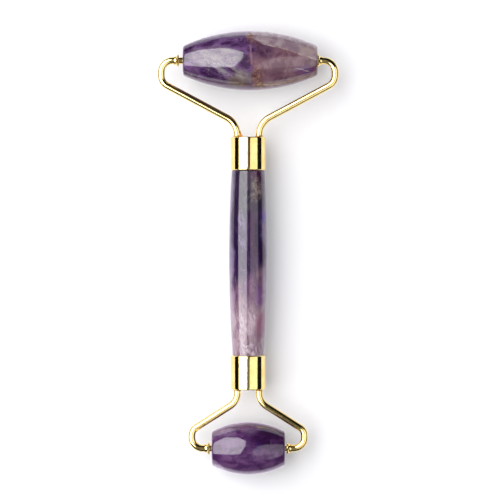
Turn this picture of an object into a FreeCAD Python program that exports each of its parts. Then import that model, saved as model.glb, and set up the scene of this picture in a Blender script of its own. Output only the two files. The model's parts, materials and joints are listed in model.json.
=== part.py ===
import FreeCAD, Part
import math
import os

import Sketcher

# Double-ended face roller. A turned stone handle has a metal ferrule bonded to each end. Two bent
# wires are brazed into each ferrule, and their turned-in ends are the pins on which a barrel-shaped
# stone roller spins, large at one end and small at the other.
#
# Each piece is drawn in the plane of the wires: the handle's axis is Y and the pins lie along X.
# A head is drawn pointing along +Y with its right-hand pieces, and a half turn about X, Y or Z
# puts the same drawing at the left or at the small end. The finished roller lies on both barrels
# on the plane z = 0, with the large one towards +Y and the origin under the middle of its box.

Vector = FreeCAD.Vector
HEADS = ("large", "small")
SIDES = {"right": 1, "left": -1}
NEAR = 1e-4

# Driving dimensions shared by both heads, in millimetres and degrees.
SHARED = {
    "wire_radius": 1.15,
    "leg_offset": 3.55,
    "leg_depth": 2.2,
    "pin_chamfer": 0.3,
    "ferrule_radius": 5.7,
    "ferrule_wall": 0.6,
    "ferrule_end_wall": 1.2,
    "ferrule_round": 0.35,
    "tenon_radius": 4.95,
    "tenon_length": 6.4,
    "handle_arc": 470.0,
    "shoulder_chamfer": 0.3,
    "collar_length": 1.55,
    "collar_lip": 0.4,
    "collar_radius": 2.05,
    "collar_neck": 0.2,
    "collar_flare": 1.2,
    "bore_radius": 1.6,
    "bush_radius": 2.1,
    "bush_recess": 0.15,
    "bush_chamfer": 0.15,
    "running_gap": 0.05,
    "braze_size": 0.5,
    "gusset_size": 1.95,
    "gusset_angle": 110.0,
}

# Driving dimensions that differ: large head, small head. Distances along the handle are from the
# middle of the handle, and barrel_shift is where the barrel rests along X within its end float.
BY_HEAD = {
    "ferrule_start": (26.7, 33.5),
    "ferrule_length": (10.8, 11.1),
    "shoulder_radius": (5.38, 5.09),
    "leg_straight": (0.64, 1.16),
    "leg_bend": (6.4, 5.0),
    "rise_angle": (28.1, 32.5),
    "hook_offset": (28.25, 18.35),
    "low_bend": (3.8, 3.2),
    "top_bend": (3.7, 3.6),
    "axle": (62.3, 63.75),
    "rim_offset": (22.55, 12.55),
    "pin_length": (8.5, 6.0),
    "barrel_length": (43.7, 23.8),
    "barrel_radius": (9.66, 8.57),
    "barrel_end_radius": (4.75, 5.45),
    "barrel_round": (1.0, 1.0),
    "barrel_shift": (0.65, 0.08),
    "bush_length": (8.0, 5.5),
}

doc = FreeCAD.newDocument("FaceRoller")
sheet = doc.addObject("Spreadsheet::Sheet", "Sizes")


def fill_sheet():
    """Write every driving dimension into the sheet, each under its own alias."""
    sizes = dict(SHARED)
    for name, values in BY_HEAD.items():
        for head, size in zip(HEADS, values):
            sizes[head + "_" + name] = size
    for row, (alias, size) in enumerate(sizes.items(), start=1):
        sheet.set("A%d" % row, alias)
        sheet.set("B%d" % row, str(size))
        sheet.setAlias("B%d" % row, alias)
    doc.recompute()


def link(text, head=""):
    """Turn [name] into the sheet's cell of that name, and [*name] into the head's own cell."""
    return text.replace("[*", "[" + head + "_").replace("[", "Sizes.").replace("]", "")


def value(expression):
    """Number that an expression on the sheet gives now."""
    result = sheet.evalExpression(expression)
    return float(getattr(result, "Value", result))


def new_body(name, turn=None):
    """A PartDesign body that lies with the others, after an optional half turn about one axis."""
    body = doc.addObject("PartDesign::Body", name)
    body.Label = name
    rise = "([large_barrel_radius] - [small_barrel_radius])"
    reach = "([large_axle] + [small_axle])"
    tilt = "asin(%s / %s)" % (rise, reach)
    half_spread = "(([large_axle] - [small_axle]) * cos(%s) + %s) / 2" % (tilt, rise)
    lift = "[large_barrel_radius] - [large_axle] * %s / %s" % (rise, reach)
    base = "create(<<vector>>; 0; -(%s) * 1mm; (%s) * 1mm)" % (half_spread, lift)
    rotation = "create(<<rotation>>; create(<<vector>>; 1; 0; 0); %s)" % tilt
    if turn:
        rotation += " * create(<<rotation>>; create(<<vector>>; %d; %d; %d); 180)" % turn
    body.setExpression("Placement", link("create(<<placement>>; %s; %s)" % (base, rotation)))
    return body


def head_turn(head, side="right"):
    """Half turn that takes the drawn right-hand piece of a head to its own place."""
    turns = {
        ("large", "right"): None,
        ("large", "left"): (0, 1, 0),
        ("small", "right"): (1, 0, 0),
        ("small", "left"): (0, 0, 1),
    }
    return turns[head, side]


class Drawing:
    """A sketch on an origin plane of its body, whose dimensions follow the sheet.

    Constraints are gathered while the geometry is drawn and go into the sketch together, so that
    the solver starts from the finished outline.
    """

    def __init__(self, body, name, plane="XY_Plane", offset=None):
        self.sketch = body.newObject("Sketcher::SketchObject", body.Name + "_" + name)
        planes = {feature.Role: feature for feature in body.Origin.OriginFeatures}
        self.sketch.AttachmentSupport = [(planes[plane], "")]
        self.sketch.MapMode = "FlatFace"
        for axis, expression in (offset or {}).items():
            self.sketch.setExpression("AttachmentOffset.Base." + axis, expression)
        self.constraints = []
        self.expressions = {}

    def tie(self, kind, *items):
        """A constraint without a value."""
        self.constraints.append(Sketcher.Constraint(kind, *items))

    def drive(self, kind, *items, by):
        """A dimension that follows the expression by."""
        self.expressions[len(self.constraints)] = by
        self.constraints.append(Sketcher.Constraint(kind, *items, value(by)))

    def place(self, edge, vertex, x, y):
        """Fix a point at the expressions x and y; "0" puts it on that axis."""
        for kind, axis, expression in (("DistanceX", -2, x), ("DistanceY", -1, y)):
            if expression == "0":
                self.tie("PointOnObject", edge, vertex, axis)
            else:
                self.drive(kind, -1, 1, edge, vertex, by=expression)

    def finish(self):
        """Put the constraints into the sketch, tie them to the sheet and return the sketch."""
        self.sketch.addConstraint(self.constraints)
        for number, expression in self.expressions.items():
            self.sketch.setExpression("Constraints[%d]" % number, expression)
        return self.sketch


def arc_between(start, end, radius):
    """Arc of under half a turn from start to end: to the left if radius > 0, else the right."""
    chord = end - start
    middle = (start + end) / 2
    reach = math.sqrt(radius ** 2 - (chord.Length / 2) ** 2)
    across = Vector(-chord.y, chord.x, 0).normalize()
    centre = middle + across * math.copysign(reach, radius)
    first, last = (start, end) if radius > 0 else (end, start)
    angles = [math.atan2(spot.y - centre.y, spot.x - centre.x) for spot in (first, last)]
    if angles[1] < angles[0]:
        angles[1] += 2 * math.pi
    circle = Part.Circle(centre, Vector(0, 0, 1), abs(radius))
    return Part.ArcOfCircle(circle, angles[0], angles[1])


def closed_outline(body, name, corners, arcs=None, offset=None):
    """Sketch of a closed outline through corners (x, y expressions), drawn anticlockwise.

    arcs maps an edge's number to its radius, which is negative where the edge bends inward.
    """
    arcs = arcs or {}
    drawing = Drawing(body, name, offset=offset)
    spots = [Vector(value(x), value(y), 0) for x, y in corners]
    count = len(spots)
    ends = []
    for edge, start in enumerate(spots):
        end = spots[(edge + 1) % count]
        bend = value(arcs[edge]) if edge in arcs else 0
        shape = arc_between(start, end, bend) if bend else Part.LineSegment(start, end)
        drawing.sketch.addGeometry(shape)
        ends.append((2, 1) if bend < 0 else (1, 2))
    for edge, (x, y) in enumerate(corners):
        before = (edge - 1) % count
        drawing.tie("Coincident", before, ends[before][1], edge, ends[edge][0])
        drawing.place(edge, ends[edge][0], x, y)
    for edge, radius in arcs.items():
        drawing.drive("Radius", edge, by="abs(%s)" % radius)
    return drawing.finish()


def circles(body, name, plane, offset, places):
    """Sketch of circles at (x, y, radius) expressions."""
    drawing = Drawing(body, name, plane, offset)
    for x, y, radius in places:
        centre = Vector(value(x), value(y), 0)
        edge = drawing.sketch.addGeometry(Part.Circle(centre, Vector(0, 0, 1), value(radius)))
        drawing.place(edge, 3, x, y)
        drawing.drive("Radius", edge, by=radius)
    return drawing.finish()


def revolve(body, sketch, axis, angle=None):
    """Revolution of a sketch about its own H_Axis or V_Axis, whole or spread evenly by angle."""
    feature = body.newObject("PartDesign::Revolution", sketch.Name + "_turned")
    feature.Profile = sketch
    feature.ReferenceAxis = (sketch, [axis])
    if angle:
        feature.Midplane = True
        feature.setExpression("Angle", angle)
    doc.recompute()
    return feature


def circle_edges(feature, radius, **place):
    """Names of the feature's circular edges of that radius, centred at place, such as y=12.0."""
    names = []
    for number, edge in enumerate(feature.Shape.Edges, start=1):
        if not isinstance(edge.Curve, Part.Circle) or abs(edge.Curve.Radius - radius) > NEAR:
            continue
        centre = edge.Curve.Center
        if all(abs(getattr(centre, axis) - spot) < NEAR for axis, spot in place.items()):
            names.append("Edge%d" % number)
    if not names:
        raise RuntimeError("no edge of radius %.3f on %s" % (radius, feature.Name))
    return names


def dress(body, base, kind, edges, field, expression):
    """Fillet or chamfer the named edges of a feature, with its size from the sheet."""
    feature = body.newObject("PartDesign::" + kind, "%s_%s_%s" % (body.Name, kind, edges[0]))
    feature.Base = (base, edges)
    feature.setExpression(field, expression)
    doc.recompute()
    return feature


def handle():
    """Turned stone handle: one long arc between the ferrules, and a tenon into each of them."""
    body = new_body("handle_stone")
    tenon = "[tenon_radius]"
    top = "[large_ferrule_start]"
    bottom = "-[small_ferrule_start]"
    corners = [
        ("0", bottom + " - [tenon_length]"),
        (tenon, bottom + " - [tenon_length]"),
        (tenon, bottom),
        ("[small_shoulder_radius]", bottom),
        ("[large_shoulder_radius]", top),
        (tenon, top),
        (tenon, top + " + [tenon_length]"),
        ("0", top + " + [tenon_length]"),
    ]
    linked = [(link(x), link(y)) for x, y in corners]
    profile = closed_outline(body, "profile", linked, {3: link("[handle_arc]")})
    turned = revolve(body, profile, "V_Axis")
    rim = circle_edges(turned, value(link("[large_shoulder_radius]")))
    chamfered = dress(body, turned, "Chamfer", rim, "Size", link("[shoulder_chamfer]"))
    tips = []
    for tip in (bottom + " - [tenon_length]", top + " + [tenon_length]"):
        tips += circle_edges(chamfered, value(link(tenon)), y=value(link(tip)))
    dress(body, chamfered, "Chamfer", tips, "Size", link("[shoulder_chamfer]"))
    return body


def ferrule(head):
    """Metal cup over the handle's tenon, with two holes in its end for the wire legs."""
    body = new_body(head + "_ferrule", head_turn(head))
    start = "[*ferrule_start]"
    end = "[*ferrule_start] + [*ferrule_length]"
    inside = "[ferrule_radius] - [ferrule_wall]"
    corners = [
        (inside, start),
        ("[ferrule_radius]", start),
        ("[ferrule_radius]", end),
        ("0", end),
        ("0", end + " - [ferrule_end_wall]"),
        (inside, end + " - [ferrule_end_wall]"),
    ]
    linked = [(link(x, head), link(y, head)) for x, y in corners]
    profile = closed_outline(body, "profile", linked)
    turned = revolve(body, profile, "V_Axis")
    rims = circle_edges(turned, value(link("[ferrule_radius]")))
    rounded = dress(body, turned, "Fillet", rims, "Radius", link("[ferrule_round]"))
    leg, wire = link("[leg_offset]"), link("[wire_radius]")
    both_legs = [(leg, "0", wire), ("-" + leg, "0", wire)]
    holes = circles(body, "leg_holes", "XZ_Plane", None, both_legs)
    pocket = body.newObject("PartDesign::Pocket", body.Name + "_leg_pocket")
    pocket.Profile = holes
    pocket.Type = "ThroughAll"
    pocket.Midplane = True
    doc.recompute()
    expected = 2 * math.pi * value(wire) ** 2 * value(link("[ferrule_end_wall]"))
    compare(body.Name + " leg holes", rounded.Shape.Volume - pocket.Shape.Volume, expected)
    return body


def potting(head):
    """Epoxy that fills the ferrule round the tenon and the ends of the two legs."""
    body = new_body(head + "_ferrule_epoxy", head_turn(head))
    start = "[*ferrule_start]"
    floor = "[*ferrule_start] + [*ferrule_length] - [ferrule_end_wall]"
    inside = "[ferrule_radius] - [ferrule_wall]"
    corners = [
        ("[tenon_radius]", start),
        (inside, start),
        (inside, floor),
        ("0", floor),
        ("0", start + " + [tenon_length]"),
        ("[tenon_radius] - [shoulder_chamfer]", start + " + [tenon_length]"),
        ("[tenon_radius]", start + " + [tenon_length] - [shoulder_chamfer]"),
    ]
    linked = [(link(x, head), link(y, head)) for x, y in corners]
    profile = closed_outline(body, "profile", linked)
    turned = revolve(body, profile, "V_Axis")
    leg, wire = link("[leg_offset]"), link("[wire_radius]")
    both_legs = [(leg, "0", wire), ("-" + leg, "0", wire)]
    at_floor = {"z": link("-(%s)" % floor, head)}
    holes = circles(body, "leg_holes", "XZ_Plane", at_floor, both_legs)
    pocket = body.newObject("PartDesign::Pocket", body.Name + "_leg_pocket")
    pocket.Profile = holes
    pocket.Reversed = True
    pocket.setExpression("Length", link("[leg_depth]"))
    doc.recompute()
    expected = 2 * math.pi * value(wire) ** 2 * value(link("[leg_depth]"))
    compare(body.Name + " leg holes", turned.Shape.Volume - pocket.Shape.Volume, expected)
    return body


def arm_route(head):
    """Corner points and bend radii of one wire, from inside the ferrule to the pin's end."""
    def number(text):
        return value(link(text, head))

    ferrule_end = number("[*ferrule_start] + [*ferrule_length]")
    rise = math.radians(number("[*rise_angle]"))
    leg = number("[leg_offset]")
    leg_bend = number("[*leg_bend]")
    hook = number("[*hook_offset]")
    axle = number("[*axle]")
    half_turn = (math.pi / 2 - rise) / 2
    leg_corner = ferrule_end + number("[*leg_straight]") + leg_bend * math.tan(half_turn)
    corners = [
        Vector(leg, ferrule_end - number("[ferrule_end_wall] + [leg_depth]"), 0),
        Vector(leg, leg_corner, 0),
        Vector(hook, leg_corner + (hook - leg) * math.tan(rise), 0),
        Vector(hook, axle, 0),
        Vector(number("[*rim_offset] - [*pin_length]"), axle, 0),
    ]
    return corners, [leg_bend, number("[*low_bend]"), number("[*top_bend]")]


def bent_path(drawing, corners, radii):
    """Straight runs through corners joined by tangent arcs, drawn in turn; returns the length."""
    length = 0
    start = corners[0]
    for number, radius in enumerate(radii):
        before, corner, after = corners[number:number + 3]
        arriving = (corner - before).normalize()
        leaving = (after - corner).normalize()
        turn = arriving.getAngle(leaving)
        setback = radius * math.tan(turn / 2)
        bend_start = corner - arriving * setback
        bend_end = corner + leaving * setback
        bend = math.copysign(radius, arriving.cross(leaving).z)
        run = drawing.sketch.addGeometry(Part.LineSegment(start, bend_start))
        arc = drawing.sketch.addGeometry(arc_between(bend_start, bend_end, bend))
        arc_first, arc_last = (2, 1) if bend < 0 else (1, 2)
        drawing.tie("Tangent", run, 2, arc, arc_first)
        drawing.tie("Tangent", arc, arc_last, arc + 1, 1)
        length += (bend_start - start).Length + radius * turn
        start = bend_end
    drawing.sketch.addGeometry(Part.LineSegment(start, corners[-1]))
    return length + (corners[-1] - start).Length


def arm(head, side):
    """One yoke wire: leg in the ferrule, diagonal, hook, and the pin the barrel turns on."""
    body = new_body("%s_%s_arm" % (head, side), head_turn(head, side))
    corners, radii = arm_route(head)
    drawing = Drawing(body, "path")
    length = bent_path(drawing, corners, radii)
    leg, leg_arc, diagonal, low_arc, upright, top_arc, pin = range(7)
    leg_end = link("[*ferrule_start] + [*ferrule_length] - [ferrule_end_wall] - [leg_depth]", head)
    bend_start = link("[*ferrule_start] + [*ferrule_length] + [*leg_straight]", head)
    pin_end = link("[*rim_offset] - [*pin_length]", head)
    drawing.place(leg, 1, link("[leg_offset]"), leg_end)
    drawing.tie("Vertical", leg)
    drawing.drive("DistanceY", -1, 1, leg, 2, by=bend_start)
    drawing.drive("Radius", leg_arc, by=link("[*leg_bend]", head))
    drawing.drive("Angle", diagonal, by=link("[*rise_angle] * 1deg", head))
    drawing.drive("Radius", low_arc, by=link("[*low_bend]", head))
    drawing.tie("Vertical", upright)
    drawing.drive("DistanceX", -1, 1, upright, 1, by=link("[*hook_offset]", head))
    drawing.drive("Radius", top_arc, by=link("[*top_bend]", head))
    drawing.tie("Horizontal", pin)
    drawing.place(pin, 2, pin_end, link("[*axle]", head))
    path = drawing.finish()

    at_leg_end = {"z": "-(%s)" % leg_end}
    disc = [(link("[leg_offset]"), "0", link("[wire_radius]"))]
    section = circles(body, "section", "XZ_Plane", at_leg_end, disc)
    pipe = body.newObject("PartDesign::AdditivePipe", body.Name + "_wire")
    pipe.Profile = section
    pipe.Spine = (path, ["Edge%d" % number for number in range(1, path.GeometryCount + 1)])
    doc.recompute()
    expected = math.pi * value(link("[wire_radius]")) ** 2 * length
    compare(body.Name + " wire", pipe.Shape.Volume, expected)
    tip = circle_edges(pipe, value(link("[wire_radius]")), x=value(pin_end))
    dress(body, pipe, "Chamfer", tip, "Size", link("[pin_chamfer]"))
    return body


def collar(head, side):
    """Flared stop ring fixed on the pin, its wide lip facing the barrel's end."""
    body = new_body("%s_%s_collar" % (head, side), head_turn(head, side))
    rim = "[*rim_offset]"
    corners = [
        (rim, "[wire_radius]"),
        (rim + " + [collar_length]", "[wire_radius]"),
        (rim + " + [collar_length]", "[wire_radius] + [collar_neck]"),
        (rim + " + [collar_lip]", "[collar_radius]"),
        (rim, "[collar_radius]"),
    ]
    linked = [(link(x, head), link(y, head)) for x, y in corners]
    flare = {2: link("-[collar_flare]")}
    profile = closed_outline(body, "profile", linked, flare, {"y": link("[*axle]", head)})
    revolve(body, profile, "H_Axis")
    return body


def braze(head):
    """Braze at the root of each leg; the large head's left leg also has a run-out gusset."""
    body = new_body(head + "_braze", head_turn(head))
    end = link("[*ferrule_start] + [*ferrule_length]", head)
    wire = link("[wire_radius]")
    pieces = [("right", "[leg_offset]", "[braze_size]"), ("left", "-[leg_offset]", "[braze_size]")]
    if head == "large":
        pieces.append(("gusset", "-[leg_offset]", "[gusset_size]"))
    for name, leg, size in pieces:
        reach = link(size)
        corners = [(wire, "0"), (wire + " + " + reach, "0"), (wire, reach)]
        at_leg = {"x": link(leg), "y": end}
        profile = closed_outline(body, name, corners, {1: "-" + reach}, at_leg)
        angle = link("[gusset_angle] * 1deg") if name == "gusset" else None
        revolve(body, profile, "V_Axis", angle)
    return body


def barrel(head):
    """Barrel-shaped stone roller, drilled through, with a socket for a bush at each end."""
    body = new_body(head + "_roller_stone", head_turn(head))
    half = "[*barrel_length] / 2"
    shoulder = "%s - [*bush_length] - 2 * [bush_recess]" % half
    socket = "[bush_radius] + [running_gap]"
    corners = [
        ("-(%s)" % half, socket),
        ("-(%s)" % shoulder, socket),
        ("-(%s)" % shoulder, "[bore_radius]"),
        (shoulder, "[bore_radius]"),
        (shoulder, socket),
        (half, socket),
        (half, "[*barrel_end_radius]"),
        ("-(%s)" % half, "[*barrel_end_radius]"),
    ]
    swell = "([*barrel_radius] - [*barrel_end_radius])"
    arc = "((%s) ^ 2 + %s ^ 2) / (2 * %s)" % (half, swell, swell)
    linked = [(link(x, head), link(y, head)) for x, y in corners]
    at_rest = {"x": link("[*barrel_shift]", head), "y": link("[*axle]", head)}
    profile = closed_outline(body, "profile", linked, {6: link(arc, head)}, at_rest)
    turned = revolve(body, profile, "H_Axis")
    ends = circle_edges(turned, value(link("[*barrel_end_radius]", head)))
    dress(body, turned, "Fillet", ends, "Radius", link("[*barrel_round]", head))
    return body


def bush(head, side):
    """Nylon sleeve between the pin and the barrel's socket, free to turn and slide on the pin."""
    body = new_body("%s_%s_bush" % (head, side), head_turn(head, side))
    outer = "%d * [*barrel_shift] + [*barrel_length] / 2 - [bush_recess]" % SIDES[side]
    start = outer + " - [*bush_length]"
    axle = link("[*axle]", head)
    walls = [
        (axle, "0", link("[bush_radius]")),
        (axle, "0", link("[wire_radius] + [running_gap]")),
    ]
    section = circles(body, "section", "YZ_Plane", {"z": link(start, head)}, walls)
    sleeve = body.newObject("PartDesign::Pad", body.Name + "_sleeve")
    sleeve.Profile = section
    sleeve.setExpression("Length", link("[*bush_length]", head))
    doc.recompute()
    rims = circle_edges(sleeve, value(link("[bush_radius]")))
    dress(body, sleeve, "Chamfer", rims, "Size", link("[bush_chamfer]"))
    return body


def compare(name, found, expected):
    """Stop if a cut or swept volume isn't what its section and length give."""
    print("%-34s volume %9.3f, expected %9.3f" % (name, found, expected))
    if abs(found - expected) > 0.01 * expected:
        raise RuntimeError(name + " has the wrong volume")


def build():
    """Every sub-part of the roller."""
    bodies = [handle()]
    for head in HEADS:
        bodies += [ferrule(head), potting(head), braze(head), barrel(head)]
        for side in SIDES:
            bodies += [arm(head, side), collar(head, side), bush(head, side)]
    doc.recompute()
    return bodies


def check(bodies):
    """Stop before writing anything if an object failed or a shape isn't sound."""
    for item in doc.Objects:
        if "Invalid" in item.State or "Error" in item.State:
            raise RuntimeError("%s failed: %s" % (item.Name, item.State))
        if item.isDerivedFrom("Sketcher::SketchObject") and item.solve() != 0:
            raise RuntimeError("%s doesn't solve" % item.Name)
    for body in bodies:
        if body.Shape.isNull() or not body.Shape.isValid() or not body.Shape.Solids:
            raise RuntimeError("%s has no valid solid" % body.Label)


def write(bodies):
    """Write each sub-part as its own STEP file and print what it measures."""
    os.makedirs("parts", exist_ok=True)
    for body in bodies:
        body.Shape.exportStep(os.path.join("parts", body.Label + ".step"))
        box = body.Shape.BoundBox
        print("%-24s solids %d  volume %10.2f  x %7.2f %7.2f  y %7.2f %7.2f  z %6.2f %6.2f" % (
            body.Label, len(body.Shape.Solids), body.Shape.Volume,
            box.XMin, box.XMax, box.YMin, box.YMax, box.ZMin, box.ZMax))


fill_sheet()
roller = build()
check(roller)
write(roller)
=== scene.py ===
import json
import math

import bmesh
import bpy
import numpy as np
from mathutils import Matrix, Vector


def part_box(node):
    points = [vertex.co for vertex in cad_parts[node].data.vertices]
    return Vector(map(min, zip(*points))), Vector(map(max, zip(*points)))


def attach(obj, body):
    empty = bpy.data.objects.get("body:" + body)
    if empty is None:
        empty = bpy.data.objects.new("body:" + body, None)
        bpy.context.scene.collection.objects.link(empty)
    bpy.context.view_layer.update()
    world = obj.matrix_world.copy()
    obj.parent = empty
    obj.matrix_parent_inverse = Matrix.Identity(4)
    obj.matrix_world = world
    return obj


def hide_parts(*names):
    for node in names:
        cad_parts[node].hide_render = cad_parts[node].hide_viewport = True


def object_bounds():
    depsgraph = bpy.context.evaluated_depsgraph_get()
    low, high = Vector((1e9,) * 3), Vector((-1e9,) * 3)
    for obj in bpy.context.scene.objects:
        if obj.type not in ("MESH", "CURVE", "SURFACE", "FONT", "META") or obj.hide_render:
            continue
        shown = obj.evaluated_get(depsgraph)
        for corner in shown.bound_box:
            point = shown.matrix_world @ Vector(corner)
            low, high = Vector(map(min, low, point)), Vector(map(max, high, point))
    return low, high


MM = 0.001

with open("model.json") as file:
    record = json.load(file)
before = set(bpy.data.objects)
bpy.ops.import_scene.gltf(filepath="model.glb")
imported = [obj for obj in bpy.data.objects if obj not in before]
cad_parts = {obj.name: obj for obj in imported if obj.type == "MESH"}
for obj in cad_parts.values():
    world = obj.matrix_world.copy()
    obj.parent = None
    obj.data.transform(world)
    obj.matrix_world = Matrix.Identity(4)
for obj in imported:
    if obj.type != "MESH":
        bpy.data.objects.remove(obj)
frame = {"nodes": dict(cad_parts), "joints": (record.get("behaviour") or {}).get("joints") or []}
cad_low, cad_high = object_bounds()

# Each head's sizes in millimetres and degrees, drawn pointing along +Y with its right-hand pieces,
# as the CAD draws them: the handle's axis is Y, the pins lie along X, and y = 0 is on the handle,
# 3.4 mm nearer the large head than its middle. ferrule_start and axle are places along Y, hook and
# rim along X. shoulder is the handle's radius at the ferrule, rise the diagonal's slope, and belly
# and end are the barrel's radii. shift is how far the barrel has slid towards +X, and bush the
# length of its sleeve.
HEADS = {
    "large": dict(
        ferrule_start=26.7, ferrule_length=10.8, shoulder=5.38, leg_straight=0.64, leg_bend=6.4,
        rise=28.1, hook=28.25, low_bend=3.8, top_bend=3.7, axle=62.3, rim=22.55, pin=8.5,
        barrel=43.7, belly=9.66, end=4.75, shift=0.65, bush=8.0,
    ),
    "small": dict(
        ferrule_start=33.5, ferrule_length=11.1, shoulder=5.09, leg_straight=1.16, leg_bend=5.0,
        rise=32.5, hook=18.35, low_bend=3.2, top_bend=3.6, axle=63.75, rim=12.55, pin=6.0,
        barrel=23.8, belly=8.57, end=5.45, shift=0.08, bush=5.5,
    ),
}
SIDES = {"right": 1, "left": -1}

# Radii in millimetres.
WIRE = 1.15
FERRULE = 5.7
FERRULE_ROUND = 0.35
FERRULE_END_RING = 3.0
FERRULE_HUB = 0.02
HANDLE_ARC = 470.0
TENON = 4.95
COLLAR = 2.05
COLLAR_FLARE = 1.2
COLLAR_EASE = 0.1
BORE = 1.6
BUSH = 2.1
BARREL_ROUND = 1.0

# Lengths, thicknesses and gaps in millimetres.
LEG_OFFSET = 3.55
LEG_DEPTH = 2.2
PIN_CHAMFER = 0.3
FERRULE_WALL = 0.6
FERRULE_END_WALL = 1.2
TENON_LENGTH = 6.4
SHOULDER_CHAMFER = 0.3
COLLAR_LENGTH = 1.55
COLLAR_LIP = 0.4
COLLAR_NECK = 0.2
BUSH_RECESS = 0.15
BUSH_CHAMFER = 0.15
RUNNING_GAP = 0.05

# How finely the meshes are cut: points round each piece, steps in each kind of arc, the longest
# step along a straight wire in millimetres, and rings along a ferrule. Last is the angle in degrees
# past which an edge is shaded sharp.
WIRE_AROUND = 40
FERRULE_AROUND = 128
COLLAR_AROUND = 72
BUSH_AROUND = 64
BARREL_AROUND = 144
HANDLE_AROUND = 128
BEND_STEPS = 18
WIRE_STEP = 1.2
FERRULE_ROUND_STEPS = 6
FERRULE_RINGS = 12
COLLAR_EASE_STEPS = 4
FLARE_STEPS = 10
CROWN_STEPS = 120
BARREL_ROUND_STEPS = 8
HANDLE_STEPS = 140
SHARP_ANGLE = 40.0

# Hand grinding: the seed of each stone, how deep it goes in millimetres, how many waves it is made
# of, and the share of a half barrel over which it fades out towards the belly.
GROUND_SEED = {"large": 11, "small": 12, "handle": 13}
BARREL_GRINDING = 0.03
HANDLE_GRINDING = 0.02
GROUND_WAVES = 6
TRUE_BELLY = 0.25

# How high the softboxes hang over the table and how far the table reaches, in metres.
BOX_HEIGHT = 1.0
TABLE_REACH = 1.5
# Direction across the parting in the large barrel between its mauve and its grey crystal.
CLEAVAGE = (0.30, 0.95, 0.0)
# How much brighter than its base colour a matt surface that faces the lights shows.
TABLE_LIGHT = 2.1


# ------------------------------------------------------------------ places

def axle_of(head):
    """The barrel's axle in the row frame, from the record."""
    for joint in frame["joints"]:
        if joint["name"] == head + "_spin":
            return Vector(joint["pos_m"])
    raise RuntimeError("no axle for " + head)


def handle_matrix():
    """Takes a point drawn in millimetres along and about the handle's axis to the row frame."""
    large, small = axle_of("large"), axle_of("small")
    across = Vector((1, 0, 0))
    along = Vector((0, large.y - small.y, large.z - small.z)).normalized()
    up = across.cross(along)
    origin = Vector((0, large.y, large.z)) - along * HEADS["large"]["axle"] * MM
    turn = Matrix((across, along, up)).transposed().to_4x4()
    return Matrix.Translation(origin) @ turn @ Matrix.Scale(MM, 4)


def head_matrix(head, side="right"):
    """handle_matrix after the half turn that puts a drawn right-hand piece in its own place."""
    axes = {
        ("large", "right"): None,
        ("large", "left"): "Y",
        ("small", "right"): "X",
        ("small", "left"): "Z",
    }
    axis = axes[head, side]
    if axis is None:
        return handle_matrix()
    return handle_matrix() @ Matrix.Rotation(math.pi, 4, axis)


# ------------------------------------------------------------------ meshes

def piece(name, points, faces, matrix, material):
    """A smooth-shaded mesh object of points (millimetres, drawn) placed by matrix."""
    mesh = bpy.data.meshes.new(name)
    mesh.from_pydata([matrix @ Vector(point) for point in points], [], faces)
    work = bmesh.new()
    work.from_mesh(mesh)
    bmesh.ops.recalc_face_normals(work, faces=work.faces)
    work.to_mesh(mesh)
    work.free()
    mesh.polygons.foreach_set("use_smooth", [True] * len(mesh.polygons))
    mesh.set_sharp_from_angle(angle=math.radians(SHARP_ANGLE))
    mesh.materials.append(material)
    shown = bpy.data.objects.new(name, mesh)
    bpy.context.scene.collection.objects.link(shown)
    return shown


def ring_faces(rings, around, joined=False):
    """Quads between neighbouring rings of points, and from the last to the first if joined."""
    faces = []
    for ring in range(rings if joined else rings - 1):
        after = (ring + 1) % rings
        for spot in range(around):
            beside = (spot + 1) % around
            faces.append((ring * around + spot, ring * around + beside,
                          after * around + beside, after * around + spot))
    return faces


def end_caps(rings, around):
    """Flat faces over the first and the last ring."""
    return [tuple(range(around)), tuple(range((rings - 1) * around, rings * around))]


def lathe(profile, around, axis, ends, ripple=None):
    """Points and faces of profile (along, radius) turned about the X or Y axis.

    ends says what becomes of the profile's two ends: joined, capped or open. ripple(along, angle)
    gives how far a point sinks towards the axis.
    """
    points = []
    for along, radius in profile:
        for spot in range(around):
            angle = 2 * math.pi * spot / around
            reach = radius - (ripple(along, angle) if ripple else 0.0)
            first, second = reach * math.cos(angle), reach * math.sin(angle)
            points.append((along, first, second) if axis == "X" else (first, along, second))
    faces = ring_faces(len(profile), around, ends == "joined")
    if ends == "capped":
        faces += end_caps(len(profile), around)
    return points, faces


def tube(path, radii, around):
    """Points and faces of a round wire in the XY plane along path, with its radius at each."""
    points = []
    for number, spot in enumerate(path):
        before = path[max(number - 1, 0)]
        after = path[min(number + 1, len(path) - 1)]
        ahead = (after - before).normalized()
        beside = Vector((-ahead.y, ahead.x, 0))
        for step in range(around):
            angle = 2 * math.pi * step / around
            offset = beside * math.cos(angle) + Vector((0, 0, math.sin(angle)))
            points.append(spot + offset * radii[number])
    return points, ring_faces(len(path), around) + end_caps(len(path), around)


def rounded(corner, before, after, radius, steps):
    """Points of the arc that rounds a profile's corner."""
    corner, before, after = (Vector(p) for p in (corner, before, after))
    arriving = (before - corner).normalized()
    leaving = (after - corner).normalized()
    half = arriving.angle(leaving) / 2
    first = corner + arriving * radius / math.tan(half)
    last = corner + leaving * radius / math.tan(half)
    centre = corner + (arriving + leaving).normalized() * radius / math.sin(half)
    spots = []
    for step in range(steps + 1):
        share = step / steps
        chord = first.lerp(last, share) - centre
        spots.append(tuple(centre + chord.normalized() * radius))
    return spots


def spread(start, end, count):
    """count points evenly from start to end, without end."""
    first, last = Vector(start), Vector(end)
    return [tuple(first.lerp(last, step / count)) for step in range(count)]


# ------------------------------------------------------------------ node helpers

def linear(red, green, blue):
    """A colour of 0 to 255 display values as the linear values that shaders take."""
    def one(value):
        share = value / 255
        return share / 12.92 if share <= 0.04045 else ((share + 0.055) / 1.055) ** 2.4
    return (one(red), one(green), one(blue), 1.0)


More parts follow.
